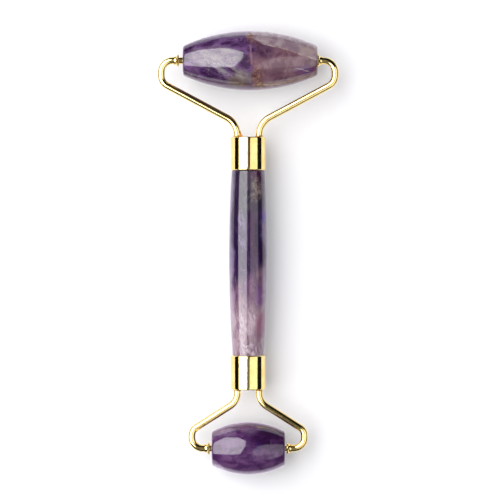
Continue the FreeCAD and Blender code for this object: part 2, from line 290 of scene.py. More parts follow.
def lit(red, green, blue):
    """The base colour of a surface that shows the given display colour where it faces the lights."""
    return tuple(value / TABLE_LIGHT for value in linear(red, green, blue)[:3]) + (1.0,)


class Look:
    """A procedural material and short ways to add the nodes that it is made of."""

    def __init__(self, name):
        self.material = bpy.data.materials.new(name)
        self.material.use_nodes = True
        self.tree = self.material.node_tree
        self.shader = self.tree.nodes["Principled BSDF"]
        self.place = self.node("ShaderNodeTexCoord").outputs["Object"]

    def node(self, kind, **fields):
        made = self.tree.nodes.new(kind)
        for field, setting in fields.items():
            setattr(made, field, setting)
        return made

    def put(self, socket, source):
        if isinstance(source, bpy.types.NodeSocket):
            self.tree.links.new(source, socket)
        else:
            socket.default_value = source

    def local(self, centre, scale=(1, 1, 1), turn=(0, 0, 0)):
        """Object coordinates in millimetres from centre, scaled and then turned."""
        shifted = self.math_vector("SUBTRACT", self.place, tuple(centre))
        mapping = self.node("ShaderNodeMapping")
        self.put(mapping.inputs["Vector"], shifted)
        mapping.inputs["Rotation"].default_value = [math.radians(a) for a in turn]
        mapping.inputs["Scale"].default_value = [s / MM for s in scale]
        return mapping.outputs["Vector"]

    def math_vector(self, operation, first, second):
        made = self.node("ShaderNodeVectorMath", operation=operation)
        self.put(made.inputs[0], first)
        self.put(made.inputs[1], second)
        return made.outputs["Value" if operation == "DOT_PRODUCT" else "Vector"]

    def stretched(self, vector, factors):
        return self.math_vector("MULTIPLY", vector, factors)

    def scaled(self, vector, factor):
        made = self.node("ShaderNodeVectorMath", operation="SCALE")
        self.put(made.inputs[0], vector)
        self.put(made.inputs["Scale"], factor)
        return made.outputs["Vector"]

    def number(self, operation, first, second=0.0):
        made = self.node("ShaderNodeMath", operation=operation)
        self.put(made.inputs[0], first)
        self.put(made.inputs[1], second)
        return made.outputs[0]

    def off(self, source, level):
        """How far source is from level, either way."""
        return self.number("ABSOLUTE", self.number("SUBTRACT", source, level))

    def noise(self, vector, scale, detail=4.0, rough=0.55, swirl=0.0, colour=False):
        made = self.node("ShaderNodeTexNoise")
        self.put(made.inputs["Vector"], vector)
        self.put(made.inputs["Scale"], scale)
        self.put(made.inputs["Detail"], detail)
        self.put(made.inputs["Roughness"], rough)
        self.put(made.inputs["Distortion"], swirl)
        return made.outputs["Color" if colour else "Fac"]

    def warped(self, vector, amount, scale):
        """vector pushed about by noise, by up to half of amount."""
        push = self.noise(vector, scale, 3.0, 0.55, 0.0, True)
        centred = self.math_vector("SUBTRACT", push, (0.5, 0.5, 0.5))
        return self.math_vector("ADD", vector, self.scaled(centred, amount))

    def fade(self, source, start, end, low=0.0, high=1.0, smooth=True):
        """low where source is at start, high where it is at end."""
        made = self.node("ShaderNodeMapRange")
        made.interpolation_type = "SMOOTHSTEP" if smooth else "LINEAR"
        self.put(made.inputs["Value"], source)
        for name, setting in zip(("From Min", "From Max", "To Min", "To Max"),
                                 (start, end, low, high)):
            self.put(made.inputs[name], setting)
        return made.outputs["Result"]

    def beyond(self, vector, direction, start, end):
        """0 before a plane across direction, 1 after it, fading from start to end."""
        along = self.math_vector("DOT_PRODUCT", vector, direction)
        return self.fade(along, start, end)

    def near_spot(self, vector, centre, size, inner):
        """1 in the middle of an ellipsoid of half sizes size, fading from the share inner to 0."""
        shifted = self.math_vector("SUBTRACT", vector, centre)
        shaped = self.math_vector("DIVIDE", shifted, size)
        made = self.node("ShaderNodeVectorMath", operation="LENGTH")
        self.put(made.inputs[0], shaped)
        return self.fade(made.outputs["Value"], 1.0, inner)

    def both(self, first, second):
        return self.number("MULTIPLY", first, second)

    def blend(self, share, first, second):
        """The colour first where share is 0 and second where it is 1."""
        made = self.node("ShaderNodeMix", data_type="RGBA")
        self.put(made.inputs["Factor"], share)
        colour_a, colour_b, mixed = 6, 7, 2
        self.put(made.inputs[colour_a], first)
        self.put(made.inputs[colour_b], second)
        return made.outputs[mixed]

    def lay(self, under, colour, mask, strength):
        """colour laid over the colour under, by mask times strength."""
        return self.blend(self.both(mask, strength), under, colour)

    def bump(self, height, strength, distance_mm, under=None):
        made = self.node("ShaderNodeBump")
        self.put(made.inputs["Height"], height)
        self.put(made.inputs["Strength"], strength)
        self.put(made.inputs["Distance"], distance_mm * MM)
        if under is not None:
            self.put(made.inputs["Normal"], under)
        return made.outputs["Normal"]

    def finish(self, **sockets):
        """Set the shader's sockets by name, with _ for a space."""
        for name, source in sockets.items():
            self.put(self.shader.inputs[name.replace("_", " ")], source)
        return self.material


# ------------------------------------------------------------------ looks

def gold_look(name, centre, grain):
    """Bright gold plate: polishing marks, long where grain is small, faint stains, soft waves."""
    look = Look(name)
    spot = look.local(centre)
    lines = look.local(centre, scale=grain)
    stain = look.fade(look.noise(spot, 0.35, 3.0), 0.35, 0.7)
    shade = look.blend(stain, linear(253, 231, 160), linear(247, 217, 138))
    specks = look.fade(look.noise(spot, 5.0, 2.0), 0.66, 0.8)
    shade = look.lay(shade, linear(176, 120, 62), specks, 0.25)
    brushed = look.noise(lines, 6.0, 4.0, 0.6)
    rough = look.fade(brushed, 0.3, 0.75, 0.035, 0.1, False)
    rough = look.number("ADD", rough, look.both(stain, 0.03))
    fine = look.bump(brushed, 0.03, 0.02)
    wavy = look.bump(look.noise(spot, 0.55, 2.0), 0.25, 0.05, fine)
    return look.finish(Base_Color=shade, Metallic=1.0, Roughness=rough, Normal=wavy)


def nylon_look():
    """Translucent white nylon, moulded, with a slight yellow cast."""
    look = Look("nylon")
    spot = look.local((0, 0, 0))
    cloud = look.noise(spot, 0.8, 3.0)
    shade = look.blend(look.fade(cloud, 0.3, 0.7), linear(226, 219, 204), linear(205, 196, 178))
    rough = look.fade(look.noise(spot, 4.0, 3.0), 0.3, 0.7, 0.32, 0.5, False)
    grain = look.bump(look.noise(spot, 9.0, 3.0), 0.1, 0.02)
    return look.finish(Base_Color=shade, Roughness=rough, Normal=grain, Subsurface_Weight=0.3,
                       Subsurface_Scale=0.6 * MM)


def epoxy_look():
    """Cured clear-amber adhesive, nearly all of it hidden in the ferrules."""
    look = Look("epoxy")
    spot = look.local((0, 0, 0))
    cloud = look.noise(spot, 1.2, 3.0)
    shade = look.blend(look.fade(cloud, 0.3, 0.7), linear(176, 150, 96), linear(132, 104, 60))
    rough = look.fade(look.noise(spot, 3.0, 3.0), 0.3, 0.7, 0.15, 0.35, False)
    dents = look.bump(cloud, 0.3, 0.05)
    return look.finish(Base_Color=shade, Roughness=rough, Normal=dents, Subsurface_Weight=0.2,
                       Subsurface_Scale=0.5 * MM)


def braze_look(centre):
    """Run-out braze under the plate: redder gold, slightly rough and lumpy."""
    look = Look("braze")
    spot = look.local(centre)
    patch = look.fade(look.noise(spot, 0.9, 4.0), 0.35, 0.65)
    shade = look.blend(patch, linear(232, 172, 84), linear(206, 138, 62))
    rough = look.fade(look.noise(spot, 3.0, 3.0), 0.3, 0.7, 0.12, 0.3, False)
    lumps = look.bump(look.noise(spot, 1.6, 3.0), 0.5, 0.12)
    return look.finish(Base_Color=shade, Metallic=1.0, Roughness=rough, Normal=lumps)


def stone_finish(look, spot, shade, sheen):
    """Polished quartz surface: body colour with depth, faint polishing haze, fine scratches."""
    haze = look.noise(spot, 0.9, 4.0, 0.6)
    rough = look.fade(haze, 0.35, 0.75, 0.035, 0.1, False)
    scratches = look.noise(look.stretched(spot, (0.5, 9.0, 9.0)), 1.6, 3.0, 0.6)
    fine = look.bump(scratches, 0.04, 0.01)
    waves = look.bump(look.noise(spot, 0.16, 2.0), 0.35, 0.12, fine)
    return look.finish(Base_Color=shade, Roughness=rough, IOR=1.62, Normal=waves,
                       Subsurface_Weight=0.6, Subsurface_Scale=1.4 * MM,
                       Subsurface_Radius=(1.0, 0.75, 1.05), Sheen_Weight=sheen,
                       Sheen_Roughness=0.3, Sheen_Tint=(0.82, 0.66, 0.94, 1))


def cloudy(look, spot, dark, light, scale, stretch=(1, 1, 1), low=0.38, high=0.64):
    """Two display colours in streaky clouds, as base colours."""
    clouds = look.noise(look.stretched(spot, stretch), scale, 6.0, 0.62, 0.4)
    return look.blend(look.fade(clouds, low, high), lit(*dark), lit(*light))


def veils(look, spot, scale, width, stretch):
    """1 on thin wandering sheets, as healed cracks run through quartz, and 0 elsewhere."""
    line = look.fade(look.off(look.noise(look.stretched(spot, stretch), scale, 3.0), 0.5), width, 0.0)
    kept = look.fade(look.noise(spot, 0.33, 3.0), 0.5, 0.64)
    return look.both(line, kept)


def sheet(look, spot, direction, distance, width):
    """1 on a flat sheet across direction, fading to 0 at width on each side."""
    along = look.math_vector("DOT_PRODUCT", spot, direction)
    return look.fade(look.off(along, distance), width, 0.15 * width)


def violet_half(look, centre, bent, crisp):
    """Violet crystal, painted pale rims, a milky patch partly painted highlight, a smoky patch,
    slanted white wisps, browner below.
    """
    shade = cloudy(look, crisp, (64, 26, 80), (140, 100, 156), 0.26, (0.8, 1.5, 1.5))
    milk_and_highlight = cloudy(look, crisp, (122, 98, 134), (166, 148, 160), 0.35, (0.8, 1.8, 1.4))
    smoke = cloudy(look, crisp, (136, 118, 118), (182, 168, 164), 0.4, (1.2, 0.8, 1.0))
    # Painted rim light: the colour pales along the barrel's +Y and -Y sides, its upper and lower
    # edges.
    painted_top_rim = look.beyond(bent, (0.0, 1.0, 0.0), 6.4, 8.4)
    shade = look.lay(shade, lit(152, 136, 162), painted_top_rim, 0.75)
    painted_low_rim = look.beyond(bent, (0.0, -1.0, 0.0), 5.2, 6.8)
    shade = look.lay(shade, lit(118, 84, 122), painted_low_rim, 0.6)
    lower_end = look.near_spot(bent, (-18.5, -3.6, 5.0), (3.4, 2.4, 6.0), 0.3)
    shade = look.lay(shade, lit(128, 92, 138), lower_end, 0.6)
    # Milky patch on the left half, partly real and partly a painted highlight where the left softbox
    # reflects.
    pale = look.near_spot(bent, (-11.0, 1.0, 7.5), (11.0, 3.8, 9.0), 0.6)
    shade = look.lay(shade, milk_and_highlight, pale, 0.85)
    wedge = look.near_spot(bent, (-1.2, -0.8, 9.0), (2.4, 2.6, 4.0), 0.4)
    shade = look.lay(shade, lit(78, 46, 88), wedge, 0.85)
    smoky = look.near_spot(bent, (-2.6, -5.6, 5.0), (6.0, 3.8, 7.0), 0.4)
    shade = look.lay(shade, smoke, smoky, 0.95)
    slanted = look.warped(look.local(centre, turn=(0, 0, 28)), 2.0, 0.22)
    streaks = look.noise(look.stretched(slanted, (0.14, 0.85, 0.4)), 1.0, 5.0)
    drift = look.near_spot(slanted, (-6.5, -6.3, 6.0), (14.5, 3.6, 9.0), 0.4)
    wisps = look.both(look.fade(streaks, 0.5, 0.66), drift)
    shade = look.lay(shade, lit(190, 180, 184), wisps, 0.7)
    threads = look.both(look.fade(look.off(streaks, 0.52), 0.02, 0.0), drift)
    shade = look.lay(shade, lit(220, 212, 216), threads, 0.7)
    brown = look.near_spot(crisp, (-4.4, -7.0, 5.0), (4.6, 2.2, 5.0), 0.3)
    return look.lay(shade, lit(108, 82, 76), brown, 0.7)


def mauve_half(look, spot, bent, crisp):
    """Dusty mauve crystal, a grey one beyond its cleavage, and small painted glints."""
    mauve = cloudy(look, crisp, (126, 84, 102), (166, 126, 138), 0.24, (1.2, 1.0, 1.2))
    dusk = cloudy(look, crisp, (70, 38, 76), (122, 86, 114), 0.35, (1.3, 0.9, 1.2))
    grey = cloudy(look, crisp, (166, 138, 154), (202, 182, 188), 0.36)
    dark = look.near_spot(bent, (4.4, 2.8, 8.5), (6.6, 5.0, 7.0), 0.3)
    shade = look.lay(mauve, dusk, dark, 0.85)
    under = look.near_spot(bent, (8.2, -5.4, 7.0), (6.5, 2.4, 6.0), 0.3)
    shade = look.lay(shade, dusk, under, 0.25)
    corner = look.near_spot(bent, (17.5, -3.4, 5.0), (5.0, 2.4, 6.0), 0.3)
    shade = look.lay(shade, lit(124, 78, 140), corner, 0.7)
    shade = look.blend(look.beyond(bent, CLEAVAGE, 6.4, 6.8), shade, grey)
    pale_end = look.near_spot(bent, (19.5, 3.0, 6.0), (4.6, 3.0, 6.0), 0.3)
    shade = look.lay(shade, lit(206, 180, 176), pale_end, 0.6)
    # Painted glints: broken bright lines along the cleavage, a short one near the right end and one
    # on the lower edge.
    glint = look.both(sheet(look, bent, CLEAVAGE, 6.45, 0.35),
                      look.beyond(spot, (1.0, 0.0, 0.0), 0.5, 7.0))
    broken = look.fade(look.noise(crisp, 0.5, 3.0), 0.38, 0.6, 0.25, 1.0)
    shade = look.lay(shade, lit(226, 206, 200), look.both(glint, broken), 0.8)
    painted_spark = look.both(sheet(look, bent, (0.21, 0.98, 0.0), 0.25, 0.3),
                      look.near_spot(spot, (16.8, -3.3, 5.0), (3.0, 1.6, 6.0), 0.6))
    rim = look.both(sheet(look, bent, (0.0, 1.0, 0.0), -8.1, 0.3),
                    look.near_spot(spot, (7.2, -8.1, 4.0), (3.4, 1.4, 5.0), 0.6))
    return look.lay(shade, lit(222, 204, 206), look.number("MAXIMUM", painted_spark, rim), 0.55)


def with_rust(look, shade, spot, crisp):
    """shade with the pale thread, the rusty vein and the stains where the two crystals meet."""
    rust = cloudy(look, crisp, (112, 70, 66), (186, 140, 124), 0.9, low=0.4, high=0.62)
    thread = look.both(sheet(look, crisp, (1.0, 0.08, 0.0), 0.4, 0.45),
                       look.near_spot(spot, (0.5, 1.2, 8.0), (3.0, 4.2, 6.0), 0.6))
    shade = look.lay(shade, lit(178, 136, 156), thread, 0.65)
    vein = look.near_spot(crisp, (0.0, 6.9, 4.5), (1.7, 3.6, 5.5), 0.3)
    patch = look.near_spot(crisp, (2.2, -4.9, 7.0), (2.5, 4.0, 6.0), 0.4)
    low_stain = look.near_spot(crisp, (2.9, -8.2, 5.0), (2.6, 1.6, 5.0), 0.3)
    stained = look.number("MAXIMUM", look.number("MAXIMUM", vein, patch), low_stain)
    mottle = look.fade(look.noise(crisp, 0.8, 4.0), 0.34, 0.52)
    return look.lay(shade, rust, look.both(stained, mottle), 0.95)


def large_amethyst():
    """Banded amethyst: violet on the left, dusty mauve on the right, a rusty vein between."""
    look = Look("large_amethyst")
    low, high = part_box("large_roller_stone")
    centre = (low + high) / 2
    spot = look.local(centre)
    bent = look.warped(spot, 2.4, 0.22)
    crisp = look.warped(spot, 1.0, 0.7)
    left = violet_half(look, centre, bent, crisp)
    right = mauve_half(look, spot, bent, crisp)
    parting = look.number("ADD", look.math_vector("DOT_PRODUCT", bent, (1.0, 0.1, 0.0)),
                          look.fade(look.noise(crisp, 0.6, 4.0), 0.3, 0.7, -1.6, 1.6))
    shade = look.blend(look.fade(parting, -0.6, 1.8), left, right)
    shade = with_rust(look, shade, spot, crisp)
    cracks = veils(look, bent, 0.16, 0.012, (0.7, 1.2, 1.0))
    shade = look.lay(shade, lit(190, 172, 178), cracks, 0.4)
    flecks = look.fade(look.noise(look.stretched(crisp, (1.0, 2.4, 1.0)), 1.7, 3.0), 0.64, 0.78)
    shade = look.lay(shade, lit(180, 160, 172), flecks, 0.3)
    return stone_finish(look, spot, shade, 0.4)


def small_amethyst():
    """Deep purple amethyst with a milky lilac corner, a few pale feathers and a painted highlight on
    the left half.
    """
    look = Look("small_amethyst")
    low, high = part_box("small_roller_stone")
    spot = look.local((low + high) / 2)
    bent = look.warped(spot, 2.2, 0.26)
    crisp = look.warped(spot, 0.9, 0.8)
    purple = cloudy(look, crisp, (88, 44, 104), (132, 88, 142), 0.26, (0.9, 1.2, 1.2))
    maroon = cloudy(look, crisp, (48, 12, 60), (84, 40, 98), 0.3, (0.9, 1.2, 1.2))
    lilac = cloudy(look, crisp, (160, 128, 168), (204, 174, 210), 0.5)
    deep = look.near_spot(bent, (6.5, 3.4, 5.0), (8.5, 5.4, 9.0), 0.5)
    shade = look.lay(purple, maroon, deep, 0.95)
    indigo = look.near_spot(bent, (3.2, 0.8, 8.0), (1.8, 3.0, 4.0), 0.2)
    shade = look.lay(shade, lit(58, 28, 100), indigo, 0.6)
    corner = look.beyond(bent, (-0.66, -0.75, 0.0), 9.6, 10.3)
    shade = look.blend(corner, shade, lilac)
    cap = look.near_spot(bent, (-8.0, 5.6, 5.0), (5.5, 2.8, 6.0), 0.3)
    shade = look.lay(shade, lilac, cap, 0.45)
    # Painted highlight: a paler lilac patch on the left half, where the left softbox reflects.
    glow = look.near_spot(bent, (-5.6, 2.0, 7.5), (4.6, 2.2, 4.0), 0.2)
    shade = look.lay(shade, lit(158, 118, 168), glow, 0.6)
    haze = look.near_spot(bent, (0.6, 6.0, 5.5), (3.4, 2.2, 5.0), 0.2)
    shade = look.lay(shade, lit(128, 104, 140), haze, 0.6)
    feathers = veils(look, bent, 0.2, 0.014, (1.2, 0.8, 1.0))
    shade = look.lay(shade, lit(150, 122, 160), feathers, 0.4)
    return stone_finish(look, spot, shade, 1.0)


def handle_ground(look, bent, crisp, down):
    """Smoky violet, indigo, purple and rose, one after the other along down."""
    long = (1.6, 0.5, 1.6)
    smoky = cloudy(look, crisp, (54, 42, 72), (92, 76, 96), 0.34, long)
    indigo = cloudy(look, crisp, (46, 16, 76), (82, 50, 98), 0.3, long)
    purple = cloudy(look, crisp, (124, 82, 122), (160, 124, 146), 0.3, long)
    rose = cloudy(look, crisp, (176, 142, 158), (220, 194, 206), 0.36, long)
    shade = look.blend(look.fade(down, -19.0, -12.0), smoky, indigo)
    sloping = look.math_vector("DOT_PRODUCT", bent, (0.7, -1.0, 0.1))
    shade = look.blend(look.fade(sloping, 2.0, 8.0), shade, purple)
    return look.blend(look.fade(down, 9.0, 18.0), shade, rose)


def handle_core(look, shade, centre, bent, down):
    """shade with maroon and dusky zones, slanted lilac wisps and darker fibres lower down."""
    maroon = look.near_spot(bent, (2.0, 29.0, 4.5), (2.8, 4.6, 5.0), 0.4)
    shade = look.lay(shade, lit(86, 16, 72), maroon, 0.9)
    dusky = look.near_spot(bent, (2.2, 8.0, 5.5), (1.6, 14.0, 4.0), 0.4)
    shade = look.lay(shade, lit(92, 48, 88), dusky, 0.8)
    slanted = look.warped(look.local(centre, turn=(0, 0, -14)), 1.8, 0.3)
    streaks = look.noise(look.stretched(slanted, (1.3, 0.24, 0.8)), 1.0, 5.0)
    drift = look.near_spot(bent, (-1.9, 11.0, 5.0), (2.6, 9.0, 4.0), 0.4)
    wisps = look.both(look.fade(streaks, 0.46, 0.62), drift)
    shade = look.lay(shade, lit(142, 122, 172), wisps, 0.75)
    fibres = look.both(look.fade(streaks, 0.5, 0.38), look.fade(down, -6.0, 4.0))
    return look.lay(shade, lit(128, 84, 138), fibres, 0.5)


def handle_spots(look, shade, bent, crisp):
    """shade with the dark and the bright spots that single crystals make under the polish, and a
    painted highlight.
    """
    shadow = look.near_spot(bent, (-3.8, 12.0, 4.0), (1.6, 22.0, 6.0), 0.6)
    shade = look.lay(shade, lit(50, 22, 70), shadow, 0.75)
    ink = look.near_spot(bent, (4.0, 6.5, 3.0), (2.4, 13.0, 5.0), 0.5)
    shade = look.lay(shade, lit(40, 4, 70), ink, 0.85)
    # Painted highlight: a bright violet flash on the handle's right side.
    painted_flash = look.near_spot(crisp, (5.0, 15.0, 2.5), (1.2, 3.4, 4.0), 0.2)
    shade = look.lay(shade, lit(88, 38, 180), painted_flash, 0.9)
    tan = cloudy(look, crisp, (96, 70, 82), (176, 156, 146), 0.8)
    smoke = look.near_spot(bent, (2.2, 24.2, 4.5), (2.6, 5.4, 4.0), 0.4)
    shade = look.lay(shade, tan, smoke, 0.8)
    violet = look.near_spot(bent, (4.0, -11.0, 3.5), (2.4, 5.0, 5.0), 0.3)
    shade = look.lay(shade, lit(142, 86, 164), violet, 0.7)
    blush = look.near_spot(bent, (4.4, -20.0, 3.0), (2.8, 7.0, 5.0), 0.2)
    shade = look.lay(shade, lit(190, 120, 156), blush, 0.7)
    cloud = look.near_spot(crisp, (0.2, -28.0, 5.0), (2.8, 4.0, 4.0), 0.4)
    flecks = look.noise(crisp, 0.9, 4.0)
    shade = look.lay(shade, lit(132, 104, 130), cloud, look.fade(flecks, 0.5, 0.6))
    return look.lay(shade, lit(236, 216, 228), cloud, look.fade(flecks, 0.44, 0.36))


def handle_amethyst():
    """Amethyst that runs from smoky violet at the large head to milky rose at the small one."""
    look = Look("handle_amethyst")
    low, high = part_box("handle_stone")
    centre = (low + high) / 2
    spot = look.local(centre)
    bent = look.warped(spot, 6.0, 0.09)
    crisp = look.warped(spot, 1.2, 0.6)
    down = look.math_vector("DOT_PRODUCT", bent, (0.12, -1.0, 0.1))
    shade = handle_ground(look, bent, crisp, down)
    shade = handle_core(look, shade, centre, bent, down)
    # Painted rim light: the colour pales towards both sides, lavender at the large head, rose at the
    # small one.
    side = look.number("ABSOLUTE", look.math_vector("DOT_PRODUCT", bent, (1.0, 0.0, 0.0)))
    painted_rim_light = look.blend(look.fade(down, -2.0, 12.0), lit(150, 128, 172), lit(206, 182, 202))
    shade = look.blend(look.fade(side, 4.4, 6.0, 0.0, 0.75), shade, painted_rim_light)
    shade = handle_spots(look, shade, bent, crisp)
    feathers = veils(look, bent, 0.16, 0.012, (1.2, 0.6, 1.0))
    shade = look.lay(shade, lit(164, 150, 170), feathers, 0.4)
    return stone_finish(look, spot, shade, 1.0)


# ------------------------------------------------------------------ pieces

def arc_between(first, last, radius, centre_side, steps):
    """Points of the arc from first to last in the plane, with its centre towards centre_side."""
    middle = (first + last) / 2
    chord = last - first
    reach = math.sqrt(radius ** 2 - (chord.length / 2) ** 2)
    across = Vector((-chord.y, chord.x)).normalized()
    if across.dot(centre_side) < 0:
        across = -across
    centre = middle + across * reach
    spots = []
    for step in range(steps + 1):
        spot = first.lerp(last, step / steps) - centre
        spots.append(tuple(centre + spot.normalized() * radius))
    return spots


def wire_corners(size):
    """Where a wire would turn if it had no bends, from its leg in the ferrule to its pin's tip."""
    ferrule_end = size["ferrule_start"] + size["ferrule_length"]
    rise = math.radians(size["rise"])
    half_turn = (math.pi / 2 - rise) / 2
    leg_corner = ferrule_end + size["leg_straight"] + size["leg_bend"] * math.tan(half_turn)
    return [
        Vector((LEG_OFFSET, ferrule_end - FERRULE_END_WALL - LEG_DEPTH, 0)),
        Vector((LEG_OFFSET, leg_corner, 0)),
        Vector((size["hook"], leg_corner + (size["hook"] - LEG_OFFSET) * math.tan(rise), 0)),
        Vector((size["hook"], size["axle"], 0)),
        Vector((size["rim"] - size["pin"], size["axle"], 0)),
    ]


def wire_bend(before, corner, after, radius):
    """Points of the arc that a wire takes round a corner."""
    arriving = (corner - before).normalized()
    leaving = (after - corner).normalized()
    turn = arriving.angle(leaving)
    first = corner - arriving * (radius * math.tan(turn / 2))
    centre = corner + (leaving - arriving).normalized() * radius / math.cos(turn / 2)
    swing = math.copysign(turn, arriving.cross(leaving).z)
    return [centre + Matrix.Rotation(swing * step / BEND_STEPS, 3, "Z") @ (first - centre)
            for step in range(BEND_STEPS + 1)]


def between(first, last):
    """Points along a straight wire, without its two ends."""
    count = int((last - first).length / WIRE_STEP) + 1
    return [first.lerp(last, step / count) for step in range(1, count)]


def arm_path(size):
    """Centreline of one wire and the radius at each of its points."""
    corners = wire_corners(size)
    path = [corners[0]]
    for number, radius in enumerate((size["leg_bend"], size["low_bend"], size["top_bend"])):
        bend = wire_bend(*corners[number:number + 3], radius)
        path += between(path[-1], bend[0]) + bend
    tip = corners[-1]
    path += between(path[-1], tip)
    inward = (tip - path[-1]).normalized()
    path += [tip - inward * PIN_CHAMFER, tip]
    radii = [WIRE] * (len(path) - 1) + [WIRE - PIN_CHAMFER]
    return path, radii


def build_arm(head, side, material):
    """One wire of a yoke, from its leg in the ferrule to its pin in the barrel."""
    name = "%s_%s_arm" % (head, side)
    points, faces = tube(*arm_path(HEADS[head]), WIRE_AROUND)
    wire = piece(name + "_wire", points, faces, head_matrix(head, side), material)
    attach(wire, "frame")
    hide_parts(name)


def build_ferrule(head, material):
    """The cup over one end of the handle, closed on the yoke's side."""
    size = HEADS[head]
    start = size["ferrule_start"]
    end = start + size["ferrule_length"]
    inside = FERRULE - FERRULE_WALL
    profile = [(start, inside)]
    profile += rounded((start, FERRULE), (start, inside), (end, FERRULE),
                       FERRULE_ROUND, FERRULE_ROUND_STEPS)
    profile += spread(profile[-1], (end - FERRULE_ROUND, FERRULE), FERRULE_RINGS)[1:]
    profile += rounded((end, FERRULE), (start, FERRULE), (end, 0),
                       FERRULE_ROUND, FERRULE_ROUND_STEPS)
    profile += [(end, FERRULE_END_RING), (end, FERRULE_HUB)]
    profile += [(end - FERRULE_END_WALL, FERRULE_HUB), (end - FERRULE_END_WALL, inside)]
    points, faces = lathe(profile, FERRULE_AROUND, "Y", "joined")
    cup = piece(head + "_ferrule_cup", points, faces, head_matrix(head), material)
    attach(cup, "frame")
    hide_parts(head + "_ferrule")


def on_axle(head, points):
    """points turned about X, moved to the barrel's axle."""
    return [(x, y + HEADS[head]["axle"], z) for x, y, z in points]


def build_collar(head, side, material):
    """The flared stop ring on one pin, its wide side towards the stone."""
    name = "%s_%s_collar" % (head, side)
    rim = HEADS[head]["rim"]
    lip = rim + COLLAR_LIP
    far = rim + COLLAR_LENGTH
    outward = Vector((0, 1))
    profile = [(rim, WIRE)]
    profile += rounded((rim, COLLAR), (rim, WIRE), (lip, COLLAR), COLLAR_EASE, COLLAR_EASE_STEPS)
    profile += arc_between(Vector((lip, COLLAR)), Vector((far, WIRE + COLLAR_NECK)),
                           COLLAR_FLARE, outward, FLARE_STEPS)
    profile += [(far, WIRE)]
    points, faces = lathe(profile, COLLAR_AROUND, "X", "joined")
    ring = piece(name + "_ring", on_axle(head, points), faces, head_matrix(head, side), material)
    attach(ring, "frame")
    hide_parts(name)


def build_bush(head, side, material):
    """The nylon sleeve in one end of the barrel, on the pin."""
    name = "%s_%s_bush" % (head, side)
    size = HEADS[head]
    outer = SIDES[side] * size["shift"] + size["barrel"] / 2 - BUSH_RECESS
    inner = outer - size["bush"]
    bore = WIRE + RUNNING_GAP
    profile = [
        (inner, bore), (inner, BUSH - BUSH_CHAMFER), (inner + BUSH_CHAMFER, BUSH),
        (outer - BUSH_CHAMFER, BUSH), (outer, BUSH - BUSH_CHAMFER), (outer, bore),
    ]
    points, faces = lathe(profile, BUSH_AROUND, "X", "joined")
    sleeve = piece(name + "_sleeve", on_axle(head, points), faces, head_matrix(head, side),
                   material)
    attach(sleeve, head + "_bushes")
    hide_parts(name)


def crown(head):
    """The barrel's outer arc from -X to +X and its rounded corners, as (along, radius)."""
    size = HEADS[head]
    half = size["barrel"] / 2
    swell = size["belly"] - size["end"]
    arc = (half ** 2 + swell ** 2) / (2 * swell)
    centre = Vector((0, size["belly"] - arc))
    # the corner's rounding touches the end face and the arc from inside
    ball_x = half - BARREL_ROUND
    ball = Vector((ball_x, centre.y + math.sqrt((arc - BARREL_ROUND) ** 2 - ball_x ** 2)))
    lean = math.atan2(ball.x - centre.x, ball.y - centre.y)
    spots = []
    for step in range(CROWN_STEPS + 1):
        angle = -lean + 2 * lean * step / CROWN_STEPS
        spots.append((arc * math.sin(angle), centre.y + arc * math.cos(angle)))
    corner = []
    for step in range(1, BARREL_ROUND_STEPS + 1):
        angle = lean + (math.pi / 2 - lean) * step / BARREL_ROUND_STEPS
        corner.append((ball.x + BARREL_ROUND * math.sin(angle),
                       ball.y + BARREL_ROUND * math.cos(angle)))
    left = [(-along, radius) for along, radius in reversed(corner)]
    return left + spots + corner


def hand_ground(stone, depth):
    """How far a hand-ground surface sinks below its true form, as ripple(along, angle)."""
    draw = np.random.default_rng(GROUND_SEED[stone])
    # radians per millimetre along, whole waves round, and where each wave starts
    pitches, counts, starts = (0.05, 0.3), (1, 5), (0, 6.283)
    waves = [(draw.uniform(*pitches), int(draw.integers(*counts)), draw.uniform(*starts))
             for _ in range(GROUND_WAVES)]

    def ripple(along, angle):
        total = sum(math.sin(along * pitch + angle * count + start)
                    for pitch, count, start in waves)
        return depth * (0.5 + total / (2 * len(waves)))
    return ripple


def build_barrel(head, material):
    """A stone barrel with a socket in each end and a narrower hole between them."""
    size = HEADS[head]
    half = size["barrel"] / 2
    socket = BUSH + RUNNING_GAP
    shoulder = half - size["bush"] - 2 * BUSH_RECESS
    hole = [
        (half, socket), (shoulder, socket), (shoulder, BORE), (-shoulder, BORE),
        (-shoulder, socket), (-half, socket),
    ]
    ground = hand_ground(head, BARREL_GRINDING)

    def ripple(along, angle):
        # the widest ring stays true, so that the barrel still rests on the table
        return ground(along, angle) * min(1.0, abs(along) / (TRUE_BELLY * half))

    outside = crown(head)
    points, faces = lathe(outside, BARREL_AROUND, "X", "open", ripple)
    base = len(points)
    hole_points, hole_faces = lathe(hole, BARREL_AROUND, "X", "open")
    points += hole_points
    faces += [tuple(base + number for number in face) for face in hole_faces]
    right_edge = (len(outside) - 1) * BARREL_AROUND
    left_mouth = base + (len(hole) - 1) * BARREL_AROUND
    for spot in range(BARREL_AROUND):
        beside = (spot + 1) % BARREL_AROUND
        faces.append((right_edge + spot, right_edge + beside, base + beside, base + spot))
        faces.append((left_mouth + spot, left_mouth + beside, beside, spot))
    moved = [(x + size["shift"], y, z) for x, y, z in points]
    stone = piece(head + "_stone", on_axle(head, moved), faces, head_matrix(head), material)
    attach(stone, head + "_roller")
    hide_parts(head + "_roller_stone")


